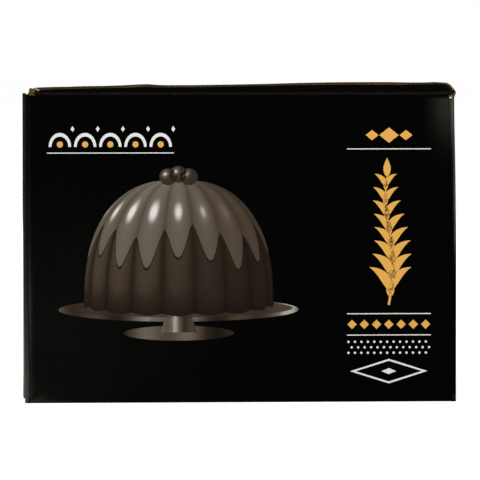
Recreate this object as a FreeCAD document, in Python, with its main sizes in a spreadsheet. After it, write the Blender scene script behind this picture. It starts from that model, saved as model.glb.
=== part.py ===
import FreeCAD, Part
import math
import os

import Sketcher

# A printed retail carton of corrugated board, empty and shut but not taped.
# It is one folded blank: four walls, a glue tab, a glued bottom, two side
# dust flaps under the lid, and two top flaps that swing on their creases.
# Frame: origin in the middle of the footprint on the surface it stands on,
# +X to the right seen from the printed front, +Y to the back, +Z up.

DRIVING = [
    # The blank
    ("front_width", 268.0, "outside width of the front and back walls"),
    ("side_depth", 210.0, "outside depth of the side walls"),
    ("shut_height", 191.5, "height of the front crease above the surface"),
    ("board", 1.6, "thickness of the corrugated board"),
    ("corner_radius", 2.2, "outside radius of the four upright folds"),
    ("crease_radius", 1.2, "outside radius of the folds at top and bottom"),
    # Top and bottom flaps
    ("flap_play", 0.3, "room between a top flap and the board below and beside it"),
    ("post_drop", 0.4, "how far the upright folds' tops stay below the front crease"),
    ("seam_gap", 0.8, "gap between two flaps that meet in the middle"),
    ("end_slot", 3.4, "how far a long flap's end stands in from the side wall"),
    ("left_slot", 8.6, "the same at the front top flap's left end, cut wider"),
    ("dust_reach", 103.0, "length of a side flap from the wall's outside"),
    ("dust_slot", 3.0, "how far a side flap's end stands in from front and back"),
    ("dust_taper", 4.0, "how much a side flap narrows at each end of its free edge"),
    # The ridge that the sprung right side flap has pushed up along its crease
    ("ridge_rise", 7.5, "height of the ridge above the wall's top"),
    ("ridge_start", 1.6, "how far its front end stands above the upright fold's top"),
    ("ridge_climb", 40.0, "length over which it climbs from the front"),
    ("ridge_crest", 87.0, "length over which it stays at its height"),
    ("ridge_bend", 30.0, "radius of its two gentle bends seen from the side"),
    # How far the free edges of the unheld top flaps have sprung up
    ("front_rise_left", 0.9, "front flap, left end"),
    ("front_rise_right", 4.2, "front flap, right end"),
    ("back_rise_left", 2.3, "back flap, left end"),
    ("back_rise_right", 5.8, "back flap, right end"),
    # Glue tab inside the back wall's left end
    ("tab_width", 32.0, "width of the glue tab"),
    ("tab_margin", 9.0, "how far the tab's ends stay from the flaps"),
    ("tab_taper", 8.0, "how much the tab's free edge is shorter at each end"),
]

doc = FreeCAD.newDocument("carton")
sheet = doc.addObject("Spreadsheet::Sheet", "Sizes")
for row, (alias, value, note) in enumerate(DRIVING, start=1):
    sheet.set("A%d" % row, note)
    sheet.set("B%d" % row, str(value))
    sheet.setAlias("B%d" % row, alias)
doc.recompute()


# Helpers


def origin_plane(body, role):
    """One of the body's own three base planes."""
    for feature in body.Origin.OriginFeatures:
        if feature.Role == role:
            return feature
    raise ValueError("no plane " + role)


def new_body(label):
    """A body whose label names its file."""
    body = doc.addObject("PartDesign::Body", label)
    body.Label = label
    return body


def new_sketch(body, name, role, height):
    """A sketch on a base plane, moved along its normal by an expression."""
    sketch = body.newObject("Sketcher::SketchObject", name)
    sketch.AttachmentSupport = [(origin_plane(body, role), "")]
    sketch.MapMode = "FlatFace"
    sketch.setExpression(".AttachmentOffset.Base.z", height)
    return sketch


def tie(sketch, kind, start, end, expression):
    """A driving distance between two sketch points, bound to an expression."""
    value = float(sketch.evalExpression(expression))
    index = sketch.addConstraint(Sketcher.Constraint(kind, *start, *end, value))
    sketch.setExpression("Constraints[%d]" % index, expression)


def close_loop(sketch, first, count):
    """Join the ends of count lines that follow each other."""
    for step in range(count):
        here = first + step
        following = first + (step + 1) % count
        sketch.addConstraint(Sketcher.Constraint("Coincident", here, 2, following, 1))


def outline(sketch, corners):
    """A closed outline with straight sides through corners given as expressions."""
    points = []
    for across, along in corners:
        x = float(sketch.evalExpression(across))
        y = float(sketch.evalExpression(along))
        points.append(FreeCAD.Vector(x, y, 0))
    first = sketch.GeometryCount
    for start, end in zip(points, points[1:] + points[:1]):
        sketch.addGeometry(Part.LineSegment(start, end), False)
    close_loop(sketch, first, len(points))
    origin = (-1, 1)
    for step, (across, along) in enumerate(corners):
        tie(sketch, "DistanceX", origin, (first + step, 1), across)
        tie(sketch, "DistanceY", origin, (first + step, 1), along)


def rectangle(sketch, left, right, front, back):
    """A rectangle between two places across and two along, as expressions."""
    outline(sketch, [(left, front), (right, front), (right, back), (left, back)])


def pad(body, sketch, length):
    """Raise a sketch by a length given as an expression."""
    feature = body.newObject("PartDesign::Pad", "pad_" + sketch.Name)
    feature.Profile = sketch
    feature.setExpression("Length", length)
    doc.recompute()
    return feature


def round_edges(body, base, name, radius, wanted):
    """Round the edges of the base for which wanted(edge) is true."""
    names = []
    for number, edge in enumerate(base.Shape.Edges, start=1):
        if wanted(edge):
            names.append("Edge%d" % number)
    feature = body.newObject("PartDesign::Fillet", name)
    feature.Base = (base, names)
    feature.setExpression("Radius", radius)
    doc.recompute()
    return feature


def runs_along(edge, axis):
    """Whether an edge is straight and runs along the x, y or z axis."""
    ends = [getattr(vertex.Point, axis) for vertex in edge.Vertexes]
    return near(max(ends) - min(ends), edge.Length)


def near(value, target):
    """Whether two lengths are the same to a thousandth of a millimetre."""
    return abs(value - target) < 1e-3


# Places that several pieces share, as expressions of the sheet's cells

HALF_WIDTH = "Sizes.front_width / 2"
HALF_DEPTH = "Sizes.side_depth / 2"
WALL_TOP = "Sizes.shut_height - Sizes.board - Sizes.flap_play"
FLAP_REACH = "(Sizes.side_depth - Sizes.seam_gap) / 2"
POST_TOP = "Sizes.shut_height - Sizes.post_drop"
WALL_TOP_Z = sheet.shut_height - sheet.board - sheet.flap_play


# Carton body: walls, dust flaps, glued bottom and glue tab, one folded blank


def build_walls(body):
    """The four walls as a tube with rounded upright folds, cut down between them."""
    plan = new_sketch(body, "wall_plan", "XY_Plane", "0")
    rectangle(plan, "-" + HALF_WIDTH, HALF_WIDTH, "-" + HALF_DEPTH, HALF_DEPTH)
    inner_x = HALF_WIDTH + " - Sizes.board"
    inner_y = HALF_DEPTH + " - Sizes.board"
    rectangle(plan, "-(%s)" % inner_x, inner_x, "-(%s)" % inner_y, inner_y)
    tube = pad(body, plan, POST_TOP)

    def outer_corner(edge):
        return runs_along(edge, "z") and near(abs(edge.CenterOfMass.x), sheet.front_width / 2)

    def inner_corner(edge):
        inner = sheet.front_width / 2 - sheet.board
        return runs_along(edge, "z") and near(abs(edge.CenterOfMass.x), inner)

    outer = round_edges(body, tube, "upright_folds", "Sizes.corner_radius", outer_corner)
    inside = "Sizes.corner_radius - Sizes.board"
    round_edges(body, outer, "upright_folds_inside", inside, inner_corner)
    flap_end = HALF_WIDTH + " - Sizes.end_slot + Sizes.flap_play"
    side_flap_end = HALF_DEPTH + " - Sizes.dust_slot"
    cut_across(body, "front_and_back_tops", POST_TOP, WALL_TOP, flap_end, HALF_DEPTH)
    cut_across(body, "side_tops", POST_TOP, WALL_TOP, HALF_WIDTH, side_flap_end)
    cut_across(body, "side_bottoms", "Sizes.board", "0", HALF_WIDTH, side_flap_end)


def cut_across(body, name, upper, lower, half_across, half_along):
    """Cut the walls down from one height to another within a centred rectangle."""
    plan = new_sketch(body, name, "XY_Plane", upper)
    sides = ("-(%s)" % half_across, half_across, "-(%s)" % half_along, half_along)
    rectangle(plan, *sides)
    cut = body.newObject("PartDesign::Pocket", "cut_" + name)
    cut.Profile = plan
    cut.setExpression("Length", "(%s) - (%s)" % (upper, lower))
    doc.recompute()


def side_flap_outline(sketch, side):
    """A side flap's plan: full width at its crease, narrower at its free edge."""
    root = "%s(%s)" % (side, HALF_WIDTH)
    tip = "%s(%s - Sizes.dust_reach)" % (side, HALF_WIDTH)
    wide = "%s - Sizes.dust_slot" % HALF_DEPTH
    narrow = "%s - Sizes.dust_slot - Sizes.dust_taper" % HALF_DEPTH
    corners = [
        (root, "-(%s)" % wide),
        (tip, "-(%s)" % narrow),
        (tip, narrow),
        (root, wide),
    ]
    outline(sketch, corners)


def build_side_flaps(body, name, underside):
    """The left and right side flaps of one end, folded in from the side walls."""
    plan = new_sketch(body, name, "XY_Plane", underside)
    for side in ("-", ""):
        side_flap_outline(plan, side)
    return pad(body, plan, "Sizes.board")


def build_ridge(body):
    """The pinched ridge along the right side flap's crease, climbing from the front."""
    inner_place = HALF_WIDTH + " - Sizes.end_slot + Sizes.flap_play"
    side_view = new_sketch(body, "ridge", "YZ_Plane", inner_place)
    end = HALF_DEPTH + " - Sizes.dust_slot"
    foot = WALL_TOP + " - Sizes.board"
    crest = WALL_TOP + " + Sizes.ridge_rise"
    knee = "-(%s) + Sizes.ridge_climb" % end
    corners = [
        ("-(%s)" % end, foot),
        (end, foot),
        (end, WALL_TOP),
        (knee + " + Sizes.ridge_crest", crest),
        (knee, crest),
        ("-(%s)" % end, POST_TOP + " + Sizes.ridge_start"),
    ]
    outline(side_view, corners)
    ridge = pad(body, side_view, "Sizes.end_slot - Sizes.flap_play")

    def gentle_bend(edge):
        return runs_along(edge, "x") and near(edge.CenterOfMass.z, WALL_TOP_Z + sheet.ridge_rise)

    return round_edges(body, ridge, "ridge_bends", "Sizes.ridge_bend", gentle_bend)


def build_bottom_flaps(body):
    """The two long bottom flaps, glued under the side flaps, with a seam between."""
    plan = new_sketch(body, "bottom_flaps", "XY_Plane", "0")
    end = HALF_WIDTH + " - Sizes.end_slot"
    seam = "Sizes.seam_gap / 2"
    rectangle(plan, "-(%s)" % end, end, "-" + HALF_DEPTH, "-" + seam)
    rectangle(plan, "-(%s)" % end, end, seam, HALF_DEPTH)
    return pad(body, plan, "Sizes.board")


def build_glue_tab(body):
    """The tapered tab from the left wall, glued to the inside of the back wall."""
    plan = new_sketch(body, "glue_tab", "XZ_Plane", "-(%s - Sizes.board)" % HALF_DEPTH)
    root = "-(%s - Sizes.board)" % HALF_WIDTH
    tip = "%s + Sizes.tab_width" % root
    low = "2 * Sizes.board + Sizes.tab_margin"
    high = WALL_TOP + " - Sizes.board - Sizes.tab_margin"
    corners = [
        (root, low),
        (tip, low + " + Sizes.tab_taper"),
        (tip, high + " - Sizes.tab_taper"),
        (root, high),
    ]
    outline(plan, corners)
    return pad(body, plan, "Sizes.board")


def build_carton_body():
    """The folded blank without its two top flaps."""
    body = new_body("carton_body")
    build_walls(body)
    build_side_flaps(body, "bottom_side_flaps", "Sizes.board")
    build_side_flaps(body, "dust_flaps", WALL_TOP + " - Sizes.board")
    build_bottom_flaps(body)
    build_glue_tab(body)
    ridge = build_ridge(body)

    def bottom_fold(edge):
        place = edge.CenterOfMass
        front_or_back = near(place.z, 0) and near(abs(place.y), sheet.side_depth / 2)
        return runs_along(edge, "x") and front_or_back

    def side_fold(edge):
        place = edge.CenterOfMass
        at_crease = near(place.z, sheet.board) or near(place.z, WALL_TOP_Z)
        return runs_along(edge, "y") and at_crease and near(abs(place.x), sheet.front_width / 2)

    def ridge_edge(edge):
        place = edge.CenterOfMass
        on_outside = near(place.x, sheet.front_width / 2)
        return on_outside and place.z > WALL_TOP_Z + 1 and not runs_along(edge, "z")

    def crease(edge):
        return bottom_fold(edge) or side_fold(edge) or ridge_edge(edge)

    round_edges(body, ridge, "creases", "Sizes.crease_radius", crease)
    return body


# Top flaps: each a strip of board lofted between its two end sections, whose
# free edges have sprung up by different amounts, so that the flap is twisted


def end_section(body, name, place, side, rise):
    """A flap's section at one end, turned about its crease by its own rise."""
    sketch = new_sketch(body, name, "YZ_Plane", place)
    reach = float(sketch.evalExpression(FLAP_REACH))
    radius = sheet.crease_radius
    inward = FreeCAD.Vector(-side, 0, 0)
    down = FreeCAD.Vector(0, -1, 0)
    crease = FreeCAD.Vector(side * sheet.side_depth / 2, sheet.shut_height, 0)
    tip = crease + inward * reach
    heel = crease + down * sheet.board
    centre = crease + (inward + down) * radius
    first_angle = math.pi / 2 if side < 0 else 0
    circle = Part.Circle(centre, FreeCAD.Vector(0, 0, 1), radius)
    bend_arc = Part.ArcOfCircle(circle, first_angle, first_angle + math.pi / 2)
    upper_end, lower_end = (1, 2) if side < 0 else (2, 1)

    top = sketch.addGeometry(Part.LineSegment(crease + inward * radius, tip), False)
    free_edge = sketch.addGeometry(Part.LineSegment(tip, tip + down * sheet.board), False)
    under = sketch.addGeometry(Part.LineSegment(tip + down * sheet.board, heel), False)
    root = sketch.addGeometry(Part.LineSegment(heel, crease + down * radius), False)
    bend = sketch.addGeometry(bend_arc, False)
    corner = sketch.addGeometry(Part.Point(crease), True)

    for here, following in ((top, free_edge), (free_edge, under), (under, root)):
        sketch.addConstraint(Sketcher.Constraint("Coincident", here, 2, following, 1))
    sketch.addConstraint(Sketcher.Constraint("Tangent", root, 2, bend, lower_end))
    sketch.addConstraint(Sketcher.Constraint("Tangent", bend, upper_end, top, 1))
    for line in (top, root):
        sketch.addConstraint(Sketcher.Constraint("PointOnObject", corner, 1, line))
    for line in (free_edge, root):
        sketch.addConstraint(Sketcher.Constraint("Perpendicular", top, line))
    origin = (-1, 1)
    wall_sign = "" if side > 0 else "-"
    tie(sketch, "DistanceX", origin, (corner, 1), wall_sign + HALF_DEPTH)
    tie(sketch, "DistanceY", origin, (corner, 1), "Sizes.shut_height")
    inward_sign = "-" if side > 0 else ""
    run = "%ssqrt(pow(%s; 2) - pow(%s; 2))" % (inward_sign, FLAP_REACH, rise)
    tie(sketch, "DistanceX", (corner, 1), (top, 2), run)
    tie(sketch, "DistanceY", (corner, 1), (top, 2), rise)
    tie(sketch, "Distance", (free_edge, 1), (free_edge, 2), "Sizes.board")
    index = sketch.addConstraint(Sketcher.Constraint("Radius", bend, radius))
    sketch.setExpression("Constraints[%d]" % index, "Sizes.crease_radius")
    return sketch


def build_top_flap(label, side, left_inset, right_inset, left_rise, right_rise):
    """A top flap; side is -1 on the front wall and 1 on the back wall."""
    body = new_body(label)
    left_place = "-(%s - %s)" % (HALF_WIDTH, left_inset)
    right_place = "%s - %s" % (HALF_WIDTH, right_inset)
    left = end_section(body, label + "_left_end", left_place, side, left_rise)
    right = end_section(body, label + "_right_end", right_place, side, right_rise)
    doc.recompute()
    strip = body.newObject("PartDesign::AdditiveLoft", label + "_strip")
    strip.Profile = left
    strip.Sections = [right]
    strip.Ruled = True
    doc.recompute()
    return body


bodies = [
    build_carton_body(),
    build_top_flap("front_top_flap", -1, "Sizes.left_slot", "Sizes.end_slot",
                   "Sizes.front_rise_left", "Sizes.front_rise_right"),
    build_top_flap("back_top_flap", 1, "Sizes.end_slot", "Sizes.end_slot",
                   "Sizes.back_rise_left", "Sizes.back_rise_right"),
]
doc.recompute()

# Every object is sound before anything is written

for item in doc.Objects:
    if "Invalid" in item.State or "Error" in item.State:
        raise RuntimeError("%s failed: %s" % (item.Name, item.State))
os.makedirs("parts", exist_ok=True)
for body in bodies:
    shape = body.Shape
    if shape.isNull() or not shape.isValid() or len(shape.Solids) != 1:
        raise RuntimeError(body.Label + " is not one valid solid")
for body in bodies:
    body.Shape.exportStep("parts/%s.step" % body.Label)
    print(body.Label, "%.0f mm3" % body.Shape.Volume, body.Shape.BoundBox)
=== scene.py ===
"""Looks of a printed carton of corrugated board: folded blank, top flaps, raw edges and print."""
import math

import bmesh
import bpy
from mathutils import Matrix, Vector


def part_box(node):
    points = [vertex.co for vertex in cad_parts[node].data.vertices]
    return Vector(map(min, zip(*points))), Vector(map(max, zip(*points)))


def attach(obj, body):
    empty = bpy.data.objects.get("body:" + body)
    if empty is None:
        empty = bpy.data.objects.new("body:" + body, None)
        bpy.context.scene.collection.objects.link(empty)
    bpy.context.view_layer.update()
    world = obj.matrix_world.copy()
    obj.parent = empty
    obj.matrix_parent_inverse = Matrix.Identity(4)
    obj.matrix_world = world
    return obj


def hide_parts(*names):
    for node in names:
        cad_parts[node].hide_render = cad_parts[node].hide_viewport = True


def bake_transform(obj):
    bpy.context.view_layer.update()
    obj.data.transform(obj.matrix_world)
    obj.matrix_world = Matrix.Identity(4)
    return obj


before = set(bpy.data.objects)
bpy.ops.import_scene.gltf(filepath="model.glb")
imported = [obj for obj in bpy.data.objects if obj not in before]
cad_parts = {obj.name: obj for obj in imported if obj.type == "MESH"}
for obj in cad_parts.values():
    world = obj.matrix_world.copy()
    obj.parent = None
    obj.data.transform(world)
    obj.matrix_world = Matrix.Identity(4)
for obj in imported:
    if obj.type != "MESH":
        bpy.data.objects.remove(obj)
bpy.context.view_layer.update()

# Sizes in millimetres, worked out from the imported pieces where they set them

MM = 0.001


def box_mm(node):
    """A node's lowest and highest corner in millimetres."""
    low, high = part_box(node)
    return low / MM, high / MM


BODY_HIGH = box_mm("carton_body")[1]
FRONT_LOW, FRONT_HIGH = box_mm("front_top_flap")
BACK_LOW, BACK_HIGH = box_mm("back_top_flap")

HALF_WIDTH = BODY_HIGH.x
HALF_DEPTH = BODY_HIGH.y
BOARD = 1.6
FLAP_PLAY = 0.3
CORNER_RADIUS = 2.2
CREASE_RADIUS = 1.2
CREASE_INSIDE = 0.35
CREASE_LEVEL = FRONT_LOW.z + BOARD
WALL_TOP = FRONT_LOW.z - FLAP_PLAY
POST_TOP = CREASE_LEVEL - 0.4
FLAP_REACH = HALF_DEPTH - 0.4
SLOT_END = FRONT_HIGH.x
SIDE_END = HALF_DEPTH - 3.0
SIDE_END_AT_TAB = SIDE_END - 1.4
SIDE_REACH = 103.0
SIDE_TAPER = 4.0
SLIT = 0.3
LAYER_GAP = 0.05
TAB_WIDTH = 32.0
TAB_LOW = 12.2
TAB_HIGH = 179.0
TAB_TAPER = 8.0

CELL = 6.0
LIP = 0.2
RECESS = 0.9
FLUTE_PITCH = 3.3
MEDIUM = 0.2
FILM_CELL = 5.0


def smooth(value):
    """Smoothstep of a value clamped to 0..1."""
    t = min(max(value, 0.0), 1.0)
    return t * t * (3 - 2 * t)


def rise(value, start, end):
    """0 where a value is at the start or before it, smoothly up to 1 at the end."""
    return smooth((value - start) / (end - start))


def bell(value, centre, reach):
    """1 at the centre, falling off both ways."""
    return math.exp(-((value - centre) / reach) ** 2)


def mix(a, b, share):
    """The value at a share of the way from a to b."""
    return a + (b - a) * share


def spread(start, end, step):
    """Evenly spaced places from start to end, about a step apart."""
    count = max(1, round(abs(end - start) / step))
    return [start + (end - start) * k / count for k in range(count + 1)]


def grid_lines(exact, fillers, room):
    """Sorted grid lines: all exact ones, and the fillers that keep clear of them."""
    lines = sorted(set(round(place, 4) for place in exact))
    for place in sorted(fillers):
        if all(abs(place - line) >= room for line in lines):
            lines.append(place)
    return sorted(lines)


def through(points, softness=3.0):
    """A softened function through a few chosen (place, value) pairs."""

    def exact(place):
        for (start, low), (end, high) in zip(points, points[1:]):
            if place <= end:
                break
        return mix(low, high, min(max((place - start) / (end - start), 0), 1))

    def softened(place):
        return sum(exact(place + softness * k) for k in (-1, 0, 1)) / 3

    return softened


# The blank's way round the carton, seen from above: straight panels joined by corner turns

TURN_LENGTH = math.pi / 2 * CORNER_RADIUS


def lay_out_ring():
    """Panels and turns of the blank, from the glue tab's free edge to the back wall's raw end."""
    ring = []
    tab_root = HALF_WIDTH - CORNER_RADIUS
    tab_face = HALF_DEPTH - BOARD - LAYER_GAP
    place = Vector((-HALF_WIDTH + BOARD + TAB_WIDTH, tab_face))
    heading = Vector((-1, 0))
    panels = [
        ("tab", place.x + tab_root),
        ("left", tab_face + HALF_DEPTH - 2 * CORNER_RADIUS),
        ("front", 2 * (HALF_WIDTH - CORNER_RADIUS)),
        ("right", 2 * (HALF_DEPTH - CORNER_RADIUS)),
        ("back", 2 * HALF_WIDTH - CORNER_RADIUS),
    ]
    at = 0.0
    for name, length in panels:
        ring.append((name, at, length, place.copy(), heading.copy()))
        place += heading * length
        at += length
        if name != "back":
            left_hand = Vector((-heading.y, heading.x))
            ring.append(("turn", at, TURN_LENGTH, place.copy(), heading.copy()))
            place += (heading + left_hand) * CORNER_RADIUS
            heading = left_hand
            at += TURN_LENGTH
    return ring


RING = lay_out_ring()
STARTS = {name: at for name, at, length, place, heading in RING if name != "turn"}
FRONT_LEFT_CORNER = STARTS["front"] - TURN_LENGTH / 2
FRONT_RIGHT_CORNER = STARTS["right"] - TURN_LENGTH / 2


def on_ring(u):
    """Panel, outer point and outward direction at a place along the blank."""
    for name, at, length, place, heading in RING:
        if u <= at + length + 1e-6:
            break
    run = u - at
    outward = Vector((heading.y, -heading.x))
    if name != "turn":
        return name, place + heading * run, outward
    turned = run / CORNER_RADIUS
    centre = place - outward * CORNER_RADIUS
    outward = outward * math.cos(turned) + heading * math.sin(turned)
    return name, centre + outward * CORNER_RADIUS, outward


ARC_LENGTH = math.pi / 2 * CREASE_RADIUS
BOTTOM_SIDE_LEVEL = BOARD + LAYER_GAP


def bend(s):
    """Section of a folded crease, s along the outside from the wall (below 0) into the flap.

    Gives how far the outer and the inner skin lie in from the wall and beyond the crease."""
    inner_centre = BOARD + CREASE_INSIDE
    shift = inner_centre - CREASE_RADIUS
    if s < 0:
        return 0, s - CREASE_RADIUS, BOARD, s - CREASE_RADIUS - shift * max(0, 1 + s / CELL)
    if s > ARC_LENGTH:
        flat = CREASE_RADIUS + s - ARC_LENGTH
        return flat, 0, flat + shift * max(0, 1 - (s - ARC_LENGTH) / CELL), -BOARD
    angle = s / CREASE_RADIUS
    c, d = math.cos(angle), math.sin(angle)
    outer = CREASE_RADIUS * (1 - c), CREASE_RADIUS * (d - 1)
    inner = inner_centre - CREASE_INSIDE * c, CREASE_INSIDE * d - inner_centre
    return *outer, *inner


def flap_end(start, reach):
    """Blank height at which a flap ends whose arc starts there and which reaches so far in."""
    return start + ARC_LENGTH + reach - CREASE_RADIUS


LONG_BOTTOM_END = CREASE_RADIUS - flap_end(0, FLAP_REACH)
SIDE_BOTTOM_END = BOTTOM_SIDE_LEVEL + CREASE_RADIUS - flap_end(0, SIDE_REACH)
DUST_END = flap_end(WALL_TOP - CREASE_RADIUS, SIDE_REACH)
TOP_FLAP_END = flap_end(CREASE_LEVEL - CREASE_RADIUS, FLAP_REACH)


def along(panel, across):
    """Place along the blank of a place across one of its panels."""
    for name, at, length, place, heading in RING:
        if name == panel:
            start = place.x if heading.x else place.y
            return at + (across - start) * (heading.x + heading.y)


# How the real board departs from flat: slight hollows, a crumpled corner and a sprung crease

HOLLOW_DEPTH = 0.28
HOLLOW_MARGIN = 26.0
HOLLOW_TURNS = {"front": 0.0, "left": 1.3, "back": 2.1, "right": 3.4}


def hollow(panel, across, z):
    """How far a wall's skin lies in from flat, in millimetres, a little differently on each wall."""
    half = HALF_WIDTH if panel in ("front", "back") else HALF_DEPTH
    edge = smooth((half - abs(across)) / HOLLOW_MARGIN)
    ends = smooth((CREASE_LEVEL - z) / HOLLOW_MARGIN) * smooth(z / HOLLOW_MARGIN)
    turn = HOLLOW_TURNS[panel]
    wide = 0.12 * math.sin(across / 41 + 1 + turn) * math.sin(z / 53 + 2)
    fine = 0.05 * math.sin(across / 17 + z / 29 + turn)
    return (HOLLOW_DEPTH + wide + fine) * edge * ends


CRUMPLE_REACH = 17.0
CRUMPLE_DEPTH = 1.5


def crumple(u, v):
    """Depth of the crushed lower left corner, with creases fanning out of it."""
    away = math.hypot(u - FRONT_LEFT_CORNER, v)
    if away > CRUMPLE_REACH:
        return 0.0
    angle = math.atan2(v, u - FRONT_LEFT_CORNER)
    creases = 0.55 + 0.45 * abs(math.sin(2.6 * angle + 0.5)) - 0.2 * math.sin(away * 0.9)
    beside = 0.2 + 0.8 * rise(away, 2, 7)
    return CRUMPLE_DEPTH * creases * beside * (1 - away / CRUMPLE_REACH) ** 1.5


LEAN_REACH = 20.0
LEFT_LEAN = through([(0, 1.0), (4, 1.2), (14, 1.5), (32, 1.05), (63, 0.64), (120, 0.0), (192, 0.05)])
RIGHT_LEAN = through([(0, 0.0), (95, 0.0), (137, 0.5), (156, 0.87), (175, 1.33), (192, 1.5)], 5.0)
RIDGE_JUT_START = 187.6


def lean(u, v):
    """How far the two front upright folds lean inwards at their foot or head; the ridge juts out."""
    left = rise(abs(u - FRONT_LEFT_CORNER), LEAN_REACH, 0) * LEFT_LEAN(v)
    right = rise(abs(u - FRONT_RIGHT_CORNER), LEAN_REACH, 0) * RIGHT_LEAN(v)
    if u > along("right", -SIDE_END - 0.1):
        right *= 1 - 0.8 * rise(v, RIDGE_JUT_START, RIDGE_JUT_START + 1.2)
    return left - right


# The right side crease is pinched up into a ridge: its height along the wall, the blank heights
# between which the board is taken up, its thickness, and the height from which it shows

RIDGE_TOP = BODY_HIGH.z - WALL_TOP
RIDGE_HEIGHT = through([(-SIDE_END, 3.0), (-96, 3.9), (-85, 5.0), (-77, 6.0), (-68, 6.8),
                        (-54, RIDGE_TOP), (25, RIDGE_TOP), (SIDE_END, 0)], 2.0)
RIDGE_LOW = WALL_TOP - 3.6
RIDGE_HIGH = WALL_TOP + 3.4
RIDGE_PLIES = 3.0
RIDGE_SHOWN = 2.2


def path_walker(points):
    """A function that gives the point at a share of a polyline's length."""
    lengths = [0.0]
    for a, b in zip(points, points[1:]):
        lengths.append(lengths[-1] + math.dist(a, b))

    def walk(share):
        goal = share * lengths[-1]
        for k in range(len(points) - 1):
            if goal <= lengths[k + 1] or k == len(points) - 2:
                part = (goal - lengths[k]) / max(lengths[k + 1] - lengths[k], 1e-9)
                return [mix(p, q, part) for p, q in zip(points[k], points[k + 1])]

    return walk


def arc(x, z, half_width, half_height, start, end, steps):
    """Points on an elliptic arc round a centre, angles in degrees."""
    angles = [math.radians(mix(start, end, k / steps)) for k in range(steps + 1)]
    return [(x + half_width * math.cos(a), z + half_height * math.sin(a)) for a in angles]


def ridge_paths(height):
    """Outer and inner path over the pinched ridge, as inward distance and height."""
    top = WALL_TOP + height
    half = RIDGE_PLIES / 2
    end = CREASE_RADIUS + RIDGE_HIGH - (WALL_TOP - CREASE_RADIUS) - ARC_LENGTH
    outer = [(0, RIDGE_LOW)] + arc(half, top - half, half, half, 180, 0, 10)
    outer += arc(RIDGE_PLIES + 0.4, WALL_TOP + 0.4, 0.4, 0.4, 180, 270, 3) + [(end, WALL_TOP)]
    ply = half - 0.03
    inner = [(BOARD, RIDGE_LOW), (ply, WALL_TOP), (ply, top - half), (half, top - ply)]
    inner += [(half + 0.03, top - half), (half + 0.03, WALL_TOP - 0.2)]
    inner += arc(RIDGE_PLIES, WALL_TOP - 0.2, half - 0.03, half - 0.03, 180, 270, 4)
    inner += [(end, WALL_TOP - BOARD)]
    return path_walker(outer), path_walker(inner)


def over_ridge(y, v):
    """Section of the right side crease at a place along it, as bend gives it."""
    a_out, b_out, a_in, b_in = bend(v - (WALL_TOP - CREASE_RADIUS))
    plain = (a_out, WALL_TOP + b_out, a_in, WALL_TOP + b_in)
    height = RIDGE_HEIGHT(y)
    if height <= 0:
        return plain
    share = (v - RIDGE_LOW) / (RIDGE_HIGH - RIDGE_LOW)
    outer, inner = ridge_paths(max(height, RIDGE_SHOWN))
    pinched = (*outer(share), *inner(share))
    return [mix(p, q, min(height / RIDGE_SHOWN, 1)) for p, q in zip(plain, pinched)]


# The folded blank without its top flaps

TEAR_START = POST_TOP - 4.5
TEAR_DROP = 2.2
TEAR_REACH = 3.4
POST_SLOPE = 1.7
BACK_POST_DROP = 2.6
LEFT_SAG = 1.1


def torn_post(u, v):
    """How far the outer liner's torn edge lies below the board's top at the front right post."""
    near = smooth(1.6 - abs(u - FRONT_RIGHT_CORNER) / TEAR_REACH)
    ragged = 0.8 + 0.2 * math.sin(u * 5.1)
    return TEAR_DROP * near * ragged * rise(v, TEAR_START, POST_TOP)


def crushed_post(u, v):
    """How far the two left posts are crushed: the front one beside the slot, the back one whole."""
    front = POST_SLOPE * smooth((u - STARTS["front"] + 0.6) / 1.6) * (u < STARTS["front"] + 5)
    back = BACK_POST_DROP * smooth(1.6 - abs(u - STARTS["left"]) / 10)
    back += BACK_POST_DROP * (u > STARTS["back"] + 2 * SLOT_END)
    return (front + back) * rise(v, TEAR_START, POST_TOP)


def side_flap_ends(panel):
    """Places across a side wall between which its flaps hang."""
    return -SIDE_END, SIDE_END_AT_TAB if panel == "left" else SIDE_END


def on_flap(panel, across):
    """Whether a place across a panel is on its flaps, and not on an upright fold."""
    if panel in ("front", "back"):
        return abs(across) <= SLOT_END + 1e-3
    low, high = side_flap_ends(panel)
    return low - 1e-3 <= across <= high + 1e-3


def section(panel, across, v):
    """Inward distance and height of both skins, for a place on a panel's flaps."""
    middle = POST_TOP / 2
    if panel in ("front", "back"):
        level, top = 0.0, CREASE_LEVEL
    else:
        level, top = BOTTOM_SIDE_LEVEL, WALL_TOP
    if v < middle:
        a_out, b_out, a_in, b_in = bend(level + CREASE_RADIUS - v)
        return a_out, level - b_out, a_in, level - b_in
    if panel == "right" and RIDGE_LOW < v < RIDGE_HIGH:
        return over_ridge(across, v)
    a_out, b_out, a_in, b_in = bend(v - (top - CREASE_RADIUS))
    return a_out, top + b_out, a_in, top + b_in


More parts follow.
